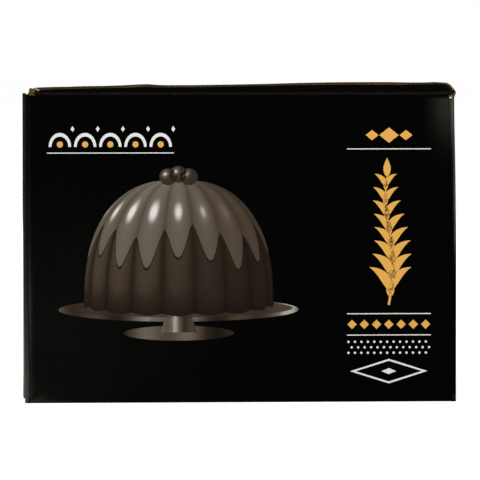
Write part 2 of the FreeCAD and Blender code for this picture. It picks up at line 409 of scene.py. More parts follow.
def fold_blank(u, v):
    """Outer and inner point of the folded blank, in millimetres."""
    panel, place, outward = on_ring(u)
    if panel == "tab":
        root = STARTS["left"] - TURN_LENGTH
        middle = (TAB_LOW + TAB_HIGH) / 2
        narrowing = 1 - TAB_TAPER / (TAB_HIGH - middle) * (root - u) / TAB_WIDTH
        z = middle + (v - middle) * narrowing
        inner = place - outward * BOARD
        return Vector((*place, z)), Vector((*inner, z))
    dent = crumple(u, v)
    across = place.x if panel in ("front", "back") else place.y
    place = place + Vector((lean(u, v), 0))
    if panel == "turn":
        place = place - outward * dent
        inner = place - outward * BOARD
        crushed = v - crushed_post(u, v)
        return Vector((*place, crushed - torn_post(u, v))), Vector((*inner, crushed))
    folded = on_flap(panel, across)
    a_out, z_out, a_in, z_in = section(panel, across, v) if folded else (0, v, BOARD, v)
    if a_out == 0:
        dent += hollow(panel, across, v)
    if not folded:
        z_out -= torn_post(u, v) + crushed_post(u, v)
        z_in -= crushed_post(u, v)
    if panel == "left":
        sag = LEFT_SAG * rise(across, -98, -48) * rise(v, WALL_TOP - 9, WALL_TOP - 1)
        z_out -= sag
        z_in -= sag
    points = []
    for a, z in ((a_out, z_out), (a_in, z_in)):
        point = place - outward * (a + dent * (0 < z < POST_TOP))
        if panel in ("left", "right"):
            point.y *= 1 - SIDE_TAPER / SIDE_END * max(a - CREASE_RADIUS, 0) / SIDE_REACH
        points.append(Vector((*point, z)))
    return points


def blank_kept(u, v):
    """Whether the blank has board at a place of the flat sheet."""
    panel, place, outward = on_ring(u)
    if panel == "turn":
        return 0 < v < POST_TOP
    if panel == "tab":
        return TAB_LOW < v < TAB_HIGH
    if panel in ("front", "back"):
        if abs(place.x) < SLOT_END:
            return LONG_BOTTOM_END < v < WALL_TOP
        if abs(place.x) < SLOT_END + SLIT:
            return 0 < v < WALL_TOP
        return 0 < v < POST_TOP
    low, high = side_flap_ends(panel)
    if low < place.y < high:
        return SIDE_BOTTOM_END < v < DUST_END
    if low - SLIT < place.y < high + SLIT:
        return BOTTOM_SIDE_LEVEL + CREASE_RADIUS < v < WALL_TOP - CREASE_RADIUS
    return 0 < v < POST_TOP


def blank_columns():
    """Grid lines along the blank."""
    exact, fillers = [], []
    for name, at, length, place, heading in RING:
        if name == "turn":
            exact += spread(at, at + length, length / 6)
            continue
        exact += [at, at + length]
        fillers += spread(at, at + length, CELL)
        if name in ("front", "back"):
            cuts = [-SLOT_END - SLIT, -SLOT_END, SLOT_END, SLOT_END + SLIT]
            cuts += [sign * (HALF_WIDTH - inset) for sign in (-1, 1) for inset in (2.7, 4, 5, 6.5)]
        elif name != "tab":
            low, high = side_flap_ends(name)
            cuts = [low - SLIT, low, high, high + SLIT]
        else:
            cuts = []
        exact += [along(name, cut) for cut in cuts if at < along(name, cut) < at + length]
    fine = spread(STARTS["front"], STARTS["front"] + 18, 1.5)
    fine += spread(FRONT_LEFT_CORNER - 16, FRONT_LEFT_CORNER - 2, 1.5)
    return grid_lines(exact, fine + fillers, 0.25)


def blank_rows():
    """Grid lines up the blank, from the bottom flaps' free edges to the dust flaps'."""
    side_bend = BOTTOM_SIDE_LEVEL + CREASE_RADIUS
    dust_bend = WALL_TOP - CREASE_RADIUS
    exact = [LONG_BOTTOM_END, SIDE_BOTTOM_END, 0, TAB_LOW, TAB_HIGH, WALL_TOP, POST_TOP, DUST_END]
    exact += [CREASE_RADIUS, CREASE_RADIUS - ARC_LENGTH, side_bend, side_bend - ARC_LENGTH]
    exact += [dust_bend, dust_bend + ARC_LENGTH, RIDGE_LOW, RIDGE_HIGH]
    fillers = spread(CREASE_RADIUS - ARC_LENGTH, side_bend, 0.36)
    fillers += spread(RIDGE_LOW, RIDGE_HIGH, 0.28) + spread(side_bend, TAB_LOW, 1.9)
    fillers += spread(LONG_BOTTOM_END, CREASE_RADIUS - ARC_LENGTH, CELL)
    fillers += spread(TAB_LOW, RIDGE_LOW, CELL) + spread(RIDGE_HIGH, DUST_END, CELL)
    return grid_lines(exact, fillers, 0.15)


# Board meshes: printed outside, plain inside, and a rim whose core lies back between two liners

PRINT_SIDE, PLAIN_SIDE, RAW_SIDE, LID_SIDE = 0, 1, 2, 3


class BoardMesh:
    """A sheet of board built from the kept cells of a flat grid and folded by a function."""

    def __init__(self, columns, rows, kept, fold, joined):
        self.columns, self.rows = columns, rows
        self.fold, self.joined = fold, joined
        self.points, self.flat, self.faces = [], [], []
        self.skins, self.chains = {}, {}
        self.cells = set()
        for i, (left, right) in enumerate(zip(columns, columns[1:])):
            for j, (low, high) in enumerate(zip(rows, rows[1:])):
                if kept((left + right) / 2, (low + high) / 2):
                    self.cells.add((i, j))
        self.insets = self.find_insets()
        for i, j in sorted(self.cells):
            self.add_cell(i, j)

    def corners(self, i, j):
        """A cell's four corners in turn."""
        return [(i, j), (i + 1, j), (i + 1, j + 1), (i, j + 1)]

    def sides(self, i, j):
        """A cell's four sides as (from corner, to corner, neighbour, inward direction)."""
        corners = self.corners(i, j)
        neighbours = [(i, j - 1), (i + 1, j), (i, j + 1), (i - 1, j)]
        inward = [(0, 1), (-1, 0), (0, -1), (1, 0)]
        return zip(corners, corners[1:] + corners[:1], neighbours, inward)

    def is_joined(self, a, b):
        """Whether a side is where another piece of the same sheet goes on."""
        u = (self.columns[a[0]] + self.columns[b[0]]) / 2
        v = (self.rows[a[1]] + self.rows[b[1]]) / 2
        return self.joined(u, v)

    def find_insets(self):
        """Directions into the board at each corner of its raw edges."""
        insets = {}
        for i, j in self.cells:
            for a, b, neighbour, inward in self.sides(i, j):
                if neighbour in self.cells or self.is_joined(a, b):
                    continue
                for corner in (a, b):
                    old = insets.get(corner, (0, 0))
                    total = [max(-1, min(1, p + q)) for p, q in zip(old, inward)]
                    insets[corner] = tuple(total)
        return insets

    def add_point(self, corner, point):
        """A new vertex, which keeps its corner's place on the flat sheet."""
        self.points.append(point * MM)
        self.flat.append((self.columns[corner[0]], self.rows[corner[1]]))
        return len(self.points) - 1

    def skin(self, corner):
        """Outer and inner vertex of a grid corner."""
        if corner not in self.skins:
            outer, inner = self.fold(self.columns[corner[0]], self.rows[corner[1]])
            self.skins[corner] = self.add_point(corner, outer), self.add_point(corner, inner)
        return self.skins[corner]

    def chain(self, corner):
        """Vertices from the outer to the inner skin round the rim's recessed core."""
        outer, inner = self.skin(corner)
        if corner not in self.insets:
            return [outer, inner]
        if corner not in self.chains:
            inset = self.insets[corner]
            top, bottom = self.points[outer] / MM, self.points[inner] / MM
            u = self.columns[corner[0]] + inset[0] * RECESS
            v = self.rows[corner[1]] + inset[1] * RECESS
            back_top, back_bottom = self.fold(u, v)
            share = LIP / BOARD
            near = [top.lerp(bottom, part) for part in (share, 1 - share)]
            back = [back_top.lerp(back_bottom, part) for part in (share, 1 - share)]
            middle = [near[0], *back, near[1]]
            self.chains[corner] = [self.add_point(corner, point) for point in middle]
        return [outer, *self.chains[corner], inner]

    def add_cell(self, i, j):
        """The faces of a cell: both skins, and the rim along each side where the board ends."""
        pairs = [self.skin(corner) for corner in self.corners(i, j)]
        side = LID_SIDE if self.rows[j] > WALL_TOP - 0.01 else PRINT_SIDE
        self.faces.append(([pair[0] for pair in pairs], side))
        self.faces.append(([pair[1] for pair in reversed(pairs)], PLAIN_SIDE))
        for a, b, neighbour, inward in self.sides(i, j):
            if neighbour in self.cells:
                continue
            near, far = self.chain(a), self.chain(b)
            if self.is_joined(a, b):
                self.faces.append(([far[0]] + near + far[:0:-1], RAW_SIDE))
                continue
            for quad in zip(far, near, near[1:], far[1:]):
                self.faces.append((quad, RAW_SIDE))


def add_object(name, mesh, materials):
    """A new object at the origin with its materials."""
    obj = bpy.data.objects.new(name, mesh)
    bpy.context.scene.collection.objects.link(obj)
    for material in materials:
        mesh.materials.append(material)
    return obj


def ride_on(obj, body):
    """A piece of printed board that moves with a body."""
    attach(obj, body)
    return obj


def board_object(name, board, marks, materials):
    """The object of a board mesh, with its flat places as UVs and its marks as attributes."""
    mesh = bpy.data.meshes.new(name)
    mesh.from_pydata(board.points, [], [face for face, side in board.faces])
    mesh.polygons.foreach_set("material_index", [side for face, side in board.faces])
    mesh.polygons.foreach_set("use_smooth", [side != RAW_SIDE for face, side in board.faces])
    layer = mesh.uv_layers.new(name="flat_sheet")
    for loop in mesh.loops:
        u, v = board.flat[loop.vertex_index]
        layer.data[loop.index].uv = (u * MM, v * MM)
    for mark, measure in marks.items():
        attribute = mesh.attributes.new(mark, "FLOAT", "POINT")
        values = [measure(u, v) for u, v in board.flat]
        attribute.data.foreach_set("value", values)
    mesh.validate()
    return add_object(name, mesh, materials)


# Materials


class Tree:
    """A node tree with short ways to add and link nodes."""

    def __init__(self, tree):
        self.tree = tree

    def add(self, kind, settings=None, **inputs):
        """A node with its settings and its inputs, each a value or another node's output."""
        node = self.tree.nodes.new(kind)
        for key, value in (settings or {}).items():
            setattr(node, key, value)
        for key, value in inputs.items():
            self.feed(node.inputs[key.replace("_", " ")], value)
        return node

    def feed(self, socket, value):
        """Links another node's output to an input, or sets the input to a value."""
        if isinstance(value, bpy.types.NodeSocket):
            self.tree.links.new(value, socket)
        else:
            socket.default_value = value

    def math(self, operation, *values):
        """The output of a Math node."""
        node = self.add("ShaderNodeMath", {"operation": operation})
        for socket, value in zip(node.inputs, values):
            self.feed(socket, value)
        return node.outputs[0]

    def seen(self):
        """1 for rays from the camera, also by way of gloss or glass."""
        rays = self.add("ShaderNodeLightPath").outputs
        direct = self.math("MAXIMUM", rays["Is Camera Ray"], rays["Is Glossy Ray"])
        return self.math("MAXIMUM", direct, rays["Is Transmission Ray"])


class Nodes(Tree):
    """A material's node tree."""

    def __init__(self, name):
        self.material = bpy.data.materials.new(name)
        self.material.use_nodes = True
        super().__init__(self.material.node_tree)
        self.shader = self.tree.nodes["Principled BSDF"]

    def on_sheet(self):
        """Places on the flat sheet, from the UV map."""
        return self.add("ShaderNodeUVMap", {"uv_map": "flat_sheet"}).outputs["UV"]

    def on_object(self):
        """Places on the object, in metres."""
        return self.add("ShaderNodeTexCoord").outputs["Object"]

    def finish(self, colour, roughness, gloss, normal=None):
        """The material, with these on its shader."""
        inputs = self.shader.inputs
        self.feed(inputs["Base Color"], colour)
        self.feed(inputs["Roughness"], roughness)
        self.feed(inputs["Specular IOR Level"], gloss)
        if normal is not None:
            self.feed(inputs["Normal"], normal)
        return self.material

    def noise(self, vector, scale, detail=4.0, roughness=0.6):
        """A noise pattern; scale is in patches for each metre."""
        node = self.add("ShaderNodeTexNoise", Vector=vector, Scale=scale, Detail=detail,
                        Roughness=roughness)
        return node.outputs["Fac"]

    def ramp(self, value, low, high):
        """A value turned to 0..1 between two limits, smoothly."""
        node = self.add("ShaderNodeMapRange", {"interpolation_type": "SMOOTHSTEP"},
                        Value=value, From_Min=low, From_Max=high)
        return node.outputs["Result"]

    def blend(self, share, a, b):
        """A colour between two, by a share."""
        node = self.add("ShaderNodeMix", {"data_type": "RGBA"})
        self.feed(node.inputs["Factor"], share)
        self.feed(node.inputs["A"], a)
        self.feed(node.inputs["B"], b)
        return node.outputs["Result"]

    def attribute(self, name):
        """A mark that the mesh carries at each vertex."""
        return self.add("ShaderNodeAttribute", {"attribute_name": name}).outputs["Fac"]

    def stretched(self, vector, scale):
        """Coordinates stretched by a different factor each way."""
        node = self.add("ShaderNodeMapping", Vector=vector, Scale=scale)
        return node.outputs["Vector"]

    def bump(self, height, distance, strength, under=None):
        """A bump from a height pattern, on top of another bump if one is given."""
        node = self.add("ShaderNodeBump", Height=height, Distance=distance, Strength=strength)
        if under is not None:
            self.feed(node.inputs["Normal"], under)
        return node.outputs["Normal"]


def rgb(*levels):
    """A colour from its three display levels, 0 to 255."""

    def linear(share):
        return share / 12.92 if share < 0.0405 else ((share + 0.055) / 1.055) ** 2.4

    return (*(linear(level / 255) for level in levels), 1.0)


KRAFT = rgb(140, 112, 80)
KRAFT_DARK = rgb(96, 74, 48)
BLACK_INK = rgb(2, 2, 2)
CREST_INK = rgb(4, 4, 4)
# Paler ink for worn folds, also used as a painted highlight along the folds
WORN_AND_HIGHLIGHT_INK = rgb(46, 45, 42)
# Pale grey for the painted sheen and reflections on the black walls, and for scuffs
SCUFF_AND_SHEEN_INK = rgb(84, 84, 76)
TORN_KRAFT = rgb(128, 103, 72)
PALE_FIBRE = rgb(214, 208, 198)


def flute_waves(nodes):
    """The washboard of the flutes below a liner, as a height from 0 to 1."""
    turn = 2 * math.pi / (FLUTE_PITCH * MM)
    run = nodes.add("ShaderNodeSeparateXYZ", Vector=nodes.on_sheet()).outputs["X"]
    wave = nodes.math("SINE", nodes.math("MULTIPLY", run, turn))
    return nodes.math("MULTIPLY_ADD", wave, 0.5, 0.5)


def weigh(nodes, *terms):
    """The sum of values, each times its weight."""
    total = 0.0
    for value, weight in terms:
        total = nodes.math("MULTIPLY_ADD", value, weight, total)
    return total


def black_print(name, gloss):
    """Black ink on the outer liner: rubbed crests, worn folds that also carry painted fold highlights,
    painted sheen and reflections, scuffs, split and torn places.
    """
    nodes = Nodes(name)
    solid = nodes.on_object()
    patches = nodes.noise(solid, 45.0)
    grain = nodes.noise(solid, 900.0, 3.0)
    specks = nodes.noise(solid, 380.0, 6.0, 0.7)
    waves = flute_waves(nodes)
    wear_and_highlight = nodes.attribute("wear_and_highlight")
    rubbed = nodes.math("MULTIPLY", nodes.ramp(waves, 0.3, 1.0), nodes.ramp(patches, 0.3, 0.7))
    ink = nodes.blend(rubbed, BLACK_INK, CREST_INK)
    # Painted sheen and reflections: the ink is lightened towards pale grey by the sheen mark, in cloudy
    # patches
    cloudy = nodes.math("MULTIPLY_ADD", patches, 0.8, 0.6)
    ink = nodes.blend(nodes.math("MULTIPLY", nodes.attribute("painted_sheen"), cloudy), ink, SCUFF_AND_SHEEN_INK)
    # Worn ink on folds and edges, which also serves as a painted highlight on the folds
    ink = nodes.blend(nodes.math("MULTIPLY", wear_and_highlight, nodes.ramp(specks, 0.25, 0.7)), ink, WORN_AND_HIGHLIGHT_INK)
    scuffs = nodes.ramp(weigh(nodes, (specks, 1.0), (wear_and_highlight, 0.14)), 0.76, 0.88)
    # Scuffs, in the same pale grey as the painted sheen
    ink = nodes.blend(nodes.math("MULTIPLY", scuffs, 0.5), ink, SCUFF_AND_SHEEN_INK)
    split, bare = (nodes.ramp(weigh(nodes, (nodes.attribute(mark), 1.0), (specks, 0.5)), 0.62, 0.9)
                   for mark in ("crack", "bare"))
    ink = nodes.blend(split, ink, nodes.blend(grain, KRAFT_DARK, TORN_KRAFT))
    ink = nodes.blend(bare, ink, PALE_FIBRE)
    roughness = nodes.math("ADD", weigh(nodes, (grain, 0.16), (split, 0.4), (bare, 0.4)), 0.4)
    relief = nodes.bump(grain, 0.00002, 0.7, nodes.bump(waves, 0.00004, 1.0))
    return nodes.finish(ink, roughness, gloss, nodes.bump(split, 0.0002, 0.8, relief))


def plain_kraft():
    """The brown inner liner, with fibres and the flutes' stripes showing through."""
    nodes = Nodes("plain_kraft")
    fibres = nodes.noise(nodes.stretched(nodes.on_sheet(), (260, 2600, 1)), 1.0, 6.0, 0.65)
    waves = flute_waves(nodes)
    tone = weigh(nodes, (fibres, 0.8), (nodes.noise(nodes.on_object(), 30.0), 0.4), (waves, 0.14))
    paper = nodes.blend(nodes.ramp(tone, 0.35, 0.95), KRAFT_DARK, KRAFT)
    ribs = nodes.bump(waves, 0.00008, 1.0)
    return nodes.finish(paper, 0.9, 0.05, nodes.bump(fibres, 0.00003, 0.6, ribs))


def paper_pulp(name, dark, light, cloud_scale=60.0, dark_edge=False):
    """Raw or torn paper, with coarse fibres; the rim is blackened where it is marked."""
    nodes = Nodes(name)
    solid = nodes.on_object()
    fibres = nodes.noise(solid, 1400.0, 5.0, 0.7)
    tone = weigh(nodes, (fibres, 0.4), (nodes.noise(solid, cloud_scale), 0.7))
    paper = nodes.blend(nodes.ramp(tone, 0.35, 0.8), dark, light)
    if dark_edge:
        paper = nodes.blend(nodes.attribute("dark_edge"), paper, CREST_INK)
    return nodes.finish(paper, 0.95, 0.02, nodes.bump(fibres, 0.00008, 0.9))


def print_ink(name, *tones):
    """A printed ink whose tone runs through evenly spaced colours, over the flutes' washboard."""
    nodes = Nodes(name)
    solid = nodes.on_object()
    grain = nodes.noise(solid, 1100.0, 4.0, 0.7)
    clouds = nodes.noise(solid, 70.0)
    tone = weigh(nodes, (nodes.attribute("tone"), 1.0), (grain, 0.08), (clouds, 0.06))
    ramp = nodes.add("ShaderNodeValToRGB", Fac=nodes.math("SUBTRACT", tone, 0.07))
    stops = ramp.color_ramp.elements
    for k, colour in enumerate(tones):
        if k >= len(stops):
            stops.new(1.0)
        stops[k].position = k / (len(tones) - 1)
        stops[k].color = colour
    relief = nodes.bump(flute_waves(nodes), 0.00004, 1.0)
    return nodes.finish(ramp.outputs["Color"], 0.5, 0.02, nodes.bump(grain, 0.00002, 0.6, relief))


WALL_PRINT = black_print("black_print", 0.006)
LID_PRINT = black_print("black_print_matt", 0.0)
PLAIN = plain_kraft()
RAW = paper_pulp("cut_edge", KRAFT_DARK, KRAFT, dark_edge=True)
FIBRE = paper_pulp("torn_fibre", rgb(168, 160, 148), rgb(226, 220, 210))
TONGUE = paper_pulp("curled_kraft", rgb(26, 18, 8), rgb(140, 112, 58), 620.0)
CAKE_INK = print_ink("cake_ink", rgb(20, 15, 11), rgb(46, 37, 28), rgb(80, 69, 57), rgb(112, 105, 95),
                     rgb(226, 222, 214))
GOLD_INK = print_ink("gold_ink", rgb(190, 132, 52), rgb(228, 172, 84))
PALE_INK = print_ink("pale_ink", rgb(176, 174, 168), rgb(232, 230, 226))

# Marks on the board: worn folds that also carry painted fold highlights, painted sheen and reflections,
# the ridge's split crest and torn places

# Strengths of the painted sheen and reflections on the black walls and the lids
PAINTED_BAND_SHEEN = through([(0, 0.05), (25, 0.1), (62, 0.21), (100, 0.07), (130, 0.04), (192, 0.02)], 4.0)
PAINTED_FOLD_SHEEN = through([(0, 0.75), (25, 0.55), (62, 0.14), (100, 0.07), (192, 0.03)], 4.0)
PAINTED_SIDE_SHEEN = 0.06
PAINTED_LID_SHEEN = 0.022


def blank_wear_and_highlight(u, v):
    """1 along the upright folds and the bottom and side creases, fading beside them: wear, and a painted
    highlight on these folds.
    """
    corners = [at + length / 2 for name, at, length, place, heading in RING if name == "turn"]
    upright = max(1 - max(abs(u - corner) - 0.5, 0) / 1.3 for corner in corners)
    if abs(u - FRONT_RIGHT_CORNER) < 10:
        upright *= rise(v, 75, 115)
    panel, place, outward = on_ring(u)
    creases = [0.3] if panel in ("front", "back") else [2.2, WALL_TOP - 0.2]
    level = max(1 - max(abs(v - crease) - 0.9, 0) / 1.6 for crease in creases)
    if panel == "front":
        level *= rise(place.x, -95, -125)
    return max(0.8 * upright, 0.6 * level, 0.0)


def blank_painted_sheen(u, v):
    """Painted sheen and reflections: up the left fold and low on the left, at the top right and up the
    right fold, painted highlights on the crushed corner's facets, and an even painted sheen on the other
    walls.
    """
    panel, place, outward = on_ring(u)
    if panel not in ("front", "turn") or place.y > 0:
        # Other walls: an even painted sheen, and a painted reflection round the left fold
        beside = rise(place.y, -50, -100) * (panel == "left") * (v < WALL_TOP)
        return PAINTED_SIDE_SHEEN + 0.7 * PAINTED_FOLD_SHEEN(v) * beside
    from_left = HALF_WIDTH + place.x
    from_right = HALF_WIDTH - place.x
    # Painted reflection in a band and on the rounded fold at the left edge
    left = PAINTED_BAND_SHEEN(v) * rise(from_left, 2.6, 3.2) * rise(from_left, 5.4, 3.8)
    left += PAINTED_FOLD_SHEEN(v) * rise(from_left, 2.5, 1.8)
    # Painted reflection of the floor, low on the left
    low = 0.034 * bell(from_left, 0, 90) * rise(v, 160, 40)
    # Painted reflection at the top right
    right = 0.21 * bell(from_right, 5, 8.5) * bell(v, 184, 19) * rise(v, 189, 187)
    # Painted highlight up the right fold
    fold = mix(0.37, 0.92, rise(v, 170, 130)) * rise(from_right, 1.7, 1.2) * rise(v, 85, 115)
    fold += 0.75 * bell(from_right, 1.6, 0.7) * rise(v, 152, 176)
    # Painted highlights on the facets of the crushed corner's creases
    fan = 0.5 + 0.5 * math.sin(7 * math.atan2(v, u - FRONT_LEFT_CORNER))
    crushed = 0.3 * crumple(u, v) / CRUMPLE_DEPTH * fan
    return left + low + right + fold + crushed


def blank_crack(u, v):
    """1 on the split crest of the right side's ridge and the front right post's torn head."""
    panel, place, outward = on_ring(u)
    if panel == "turn":
        near = 1 - abs(u - FRONT_RIGHT_CORNER - 0.3) / 1.7
        return max(0, near) * rise(v, POST_TOP - 1.6, POST_TOP - 0.9)
    if panel != "right" or not RIDGE_LOW < v < RIDGE_HIGH:
        return 0.0
    height = RIDGE_HEIGHT(place.y)
    outer = ridge_paths(max(height, RIDGE_SHOWN))[0]
    inward, z = outer((v - RIDGE_LOW) / (RIDGE_HIGH - RIDGE_LOW))
    centre = mix(1.3, 2.0, rise(place.y, -78, -58))
    crest = min(1, max(0.0, 1.25 - abs(inward - centre)))
    return crest * rise(height, 0, 1.2) * (z > WALL_TOP + height - 1.2)


def blank_bare(u, v):
    """1 on the small torn white place at the head of the front wall's right end."""
    torn = STARTS["right"] - TURN_LENGTH - 0.3
    return max(0.0, 1.3 - math.hypot((u - torn) / 1.1, (v - 189.1) / 1.5))


def blank_dark_edge(u, v):
    """1 where cut edges are black: the left posts' crushed heads and the ridge end's inner ply."""
    front = smooth(1.5 - abs(u - FRONT_LEFT_CORNER - 1) / 5)
    back = smooth(1.5 - abs(u - STARTS["left"]) / 8)
    ridge_end = abs(u - along("right", -SIDE_END)) < 1 and WALL_TOP - 0.2 < v < RIDGE_HIGH
    return max(max(front, back) * (v > POST_TOP - 5), ridge_end)


MARKS = {"wear_and_highlight": blank_wear_and_highlight, "painted_sheen": blank_painted_sheen, "crack": blank_crack, "bare": blank_bare,
         "dark_edge": blank_dark_edge}


def blank_joined(u, v):
    """Whether an edge of the blank is where a top flap goes on."""
    panel, place, outward = on_ring(u)
    at_crease = panel in ("front", "back") and abs(v - WALL_TOP) < 1e-3
    return at_crease and FRONT_LOW.x < place.x < SLOT_END


blank = BoardMesh(blank_columns(), blank_rows(), blank_kept, fold_blank, blank_joined)
BOARD_MATERIALS = [WALL_PRINT, PLAIN, RAW, LID_PRINT]
shell = ride_on(board_object("carton_shell", blank, MARKS, BOARD_MATERIALS), "carton")
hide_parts("carton_body")

# Top flaps: the same board, folded over the front and back creases and sprung up unevenly, with
# the height of each one's free edge above its crease along the carton

FRONT_EDGE = through([(-125.4, -0.1), (-123.6, -0.1), (-121.4, 1.0), (-91, 1.8), (-54, 2.45), (-27, 2.4),
                      (5, 3.05), (44, 3.8), (80, 4.15), (102, 3.85), (131, 4.2)], 0.8)
BACK_EDGE = through([(-126.4, 2.2), (-125.3, 2.35), (-120.2, 2.48), (-117.7, 2.66), (-104.9, 2.82),
                     (-94.7, 3.2), (-84.4, 3.3), (-73.6, 3.55), (-64, 4.04), (-54.5, 4.55), (-46, 3.78),
                     (-26.8, 3.8), (5.2, 4.23), (24.5, 4.64), (43.8, 5.2), (67.5, 5.58), (90, 5.68),
                     (101.6, 5.64), (114.5, 5.39), (123.5, 5.4), (131, 5.7)], 1.5)

CORNER_LIFT = 0.5
CORNER_LIFT_REACH = 17.0
LEFT_SKEW = 2.0
BACK_END_INSET = 0.7
BACK_CORNER_TORN = 4.2


def fold_top_flap(side, edge_height):
    """The folding of a top flap; side is -1 on the front wall and 1 on the back wall."""

    def fold(u, v):
        x = -side * u
        left_end = rise(x, -100, -125)
        skins = []
        a_out, b_out, a_in, b_in = bend(v - (CREASE_LEVEL - CREASE_RADIUS))
        for a, b in ((a_out, b_out), (a_in, b_in)):
            share = a / FLAP_REACH
            z = CREASE_LEVEL + b
            if side < 0:
                near_corner = rise(x, SLOT_END - CORNER_LIFT_REACH, SLOT_END) * rise(a, 60, 0)
                z += CORNER_LIFT * near_corner * rise(v, WALL_TOP, WALL_TOP + 1.2)
                across = x + LEFT_SKEW * (1 - share) * left_end
            else:
                across = x + (BACK_END_INSET + BACK_CORNER_TORN * abs(share) ** 0.8) * left_end
            z += edge_height(across) * share
            dent = hollow("front" if side < 0 else "back", x, z) if a == a_out == 0 else 0
            skins.append(Vector((across, side * (HALF_DEPTH - a - dent), z)))
        return skins

    return fold


def top_flap(name, node, side, edge_height, left, right):
    """One top flap as a board, folded over its crease."""
    ends = sorted((-side * left, -side * right))
    rows = [WALL_TOP, CREASE_LEVEL - CREASE_RADIUS, TOP_FLAP_END]
    bend_end = CREASE_LEVEL - CREASE_RADIUS + ARC_LENGTH
    fillers = spread(WALL_TOP, bend_end, 0.3) + spread(bend_end, bend_end + 8, 0.8)
    fillers += spread(bend_end + 8, TOP_FLAP_END, CELL)
    lifted = spread(*sorted((-side * (SLOT_END - 18), -side * SLOT_END)), 2.5)
    columns = grid_lines(ends, spread(*ends, CELL) + lifted, 0.5)
    board = BoardMesh(columns, grid_lines(rows, fillers, 0.1), lambda u, v: True,
                      fold_top_flap(side, edge_height), lambda u, v: abs(v - WALL_TOP) < 1e-3)

    def wear_and_highlight(u, v):
        # Painted highlight along the rounded crease, and wear along the free edge
        crease = 1 - max(abs(v - CREASE_LEVEL + 0.4) - 0.5, 0)
        free = 1 - (TOP_FLAP_END - v) / 1.5
        return max(0.0, 0.36 * crease, 0.5 * free)

    def dark_edge(u, v):
        """1 at the front flap's left cut end, which is blackened."""
        return (side < 0) * rise(-side * u, left + 4, left + 2)

    # The top flaps carry an even painted sheen
    marks = {"wear_and_highlight": wear_and_highlight, "painted_sheen": lambda u, v: PAINTED_LID_SHEEN, "dark_edge": dark_edge}
    obj = board_object(name, board, marks, BOARD_MATERIALS)
    start, end = ((0, side * (HALF_DEPTH - inward) * MM, (WALL_TOP + up) * MM)
                  for inward, up in ((1.0, 0.6), (2.9, 2.5)))
    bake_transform(obj)
    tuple(start)
    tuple(end)
    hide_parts(node)


top_flap("front_flap_board", "front_top_flap", -1, FRONT_EDGE, FRONT_LOW.x, FRONT_HIGH.x)
top_flap("back_flap_board", "back_top_flap", 1, BACK_EDGE, BACK_LOW.x, BACK_HIGH.x)

# Fluted medium between the liners, along the cut edges that run across the flutes

MEDIUM_INSET = 0.05
MEDIUM_DEPTH = RECESS - MEDIUM_INSET
MEDIUM_MIDDLE = MEDIUM_INSET + MEDIUM_DEPTH / 2
MEDIUM_SIZES = {
    "Pitch": FLUTE_PITCH * MM,
    "Swing": (BOARD - 2 * LIP - MEDIUM) / 2 * MM,
    "Ply": MEDIUM * MM,
    "Depth": MEDIUM_DEPTH * MM,
    "Paper": RAW,
}


def fluted_medium():
    """The node tree that lays a wavy ribbon of medium along edge lines."""
    tree = bpy.data.node_groups.new("fluted_medium", "GeometryNodeTree")
    tree.interface.new_socket("Lines", in_out="INPUT", socket_type="NodeSocketGeometry")
    for name in MEDIUM_SIZES:
        kind = "NodeSocketMaterial" if name == "Paper" else "NodeSocketFloat"
        tree.interface.new_socket(name, in_out="INPUT", socket_type=kind)
    tree.interface.new_socket("Ribbons", in_out="OUTPUT", socket_type="NodeSocketGeometry")
    nodes = Tree(tree)
    sizes = nodes.add("NodeGroupInput").outputs
    curve = nodes.add("GeometryNodeMeshToCurve", Mesh=sizes["Lines"]).outputs["Curve"]
    step = nodes.math("DIVIDE", sizes["Pitch"], 10.0)
    fine = nodes.add("GeometryNodeResampleCurve", {"mode": "LENGTH"}, Curve=curve, Length=step)
    run = nodes.add("GeometryNodeSplineParameter").outputs["Length"]
    turns = nodes.math("MULTIPLY", nodes.math("DIVIDE", run, sizes["Pitch"]), 2 * math.pi)
    wave = nodes.math("MULTIPLY", nodes.math("SINE", turns), sizes["Swing"])
    lift = nodes.add("ShaderNodeCombineXYZ", Z=wave).outputs["Vector"]
    wavy = nodes.add("GeometryNodeSetPosition", Geometry=fine.outputs["Curve"], Offset=lift)
    level = nodes.add("GeometryNodeSetCurveNormal", {"mode": "Z_UP"}, Curve=wavy.outputs["Geometry"])
    strip = nodes.add("GeometryNodeCurvePrimitiveQuadrilateral", Width=sizes["Depth"],
                      Height=sizes["Ply"])
    ribbon = nodes.add("GeometryNodeCurveToMesh", Curve=level.outputs["Curve"],
                       Profile_Curve=strip.outputs["Curve"], Fill_Caps=True)
    real = nodes.add("GeometryNodeRealizeInstances", Geometry=ribbon.outputs["Mesh"])
    paper = nodes.add("GeometryNodeSetMaterial", Geometry=real.outputs["Geometry"],
                      Material=sizes["Paper"])
    nodes.add("NodeGroupOutput", Ribbons=paper.outputs["Geometry"])
    return tree


MEDIUM_TREE = fluted_medium()


def lay_medium(name, body, fold, runs):
    """The medium along a body's cut edges, each given by places on its flat sheet."""
    points, edges = [], []
    for run in runs:
        for k, place in enumerate(run):
            outer, inner = fold(*place)
            if k:
                edges.append((len(points) - 1, len(points)))
            points.append((outer + inner) / 2 * MM)
    lines = bpy.data.meshes.new(name + "_lines")
    lines.from_pydata(points, edges, [])
    guide = add_object(name + "_lines", lines, [])
    modifier = guide.modifiers.new("medium", "NODES")
    modifier.node_group = MEDIUM_TREE
    for socket in MEDIUM_TREE.interface.items_tree:
        if socket.name in MEDIUM_SIZES:
            modifier[socket.identifier] = MEDIUM_SIZES[socket.name]
    evaluated = guide.evaluated_get(bpy.context.evaluated_depsgraph_get())
    mesh = bpy.data.meshes.new_from_object(evaluated)
    mesh.name = name
    guide.modifiers.remove(modifier)
    bpy.data.objects.remove(guide)
    ride_on(add_object(name, mesh, []), body)


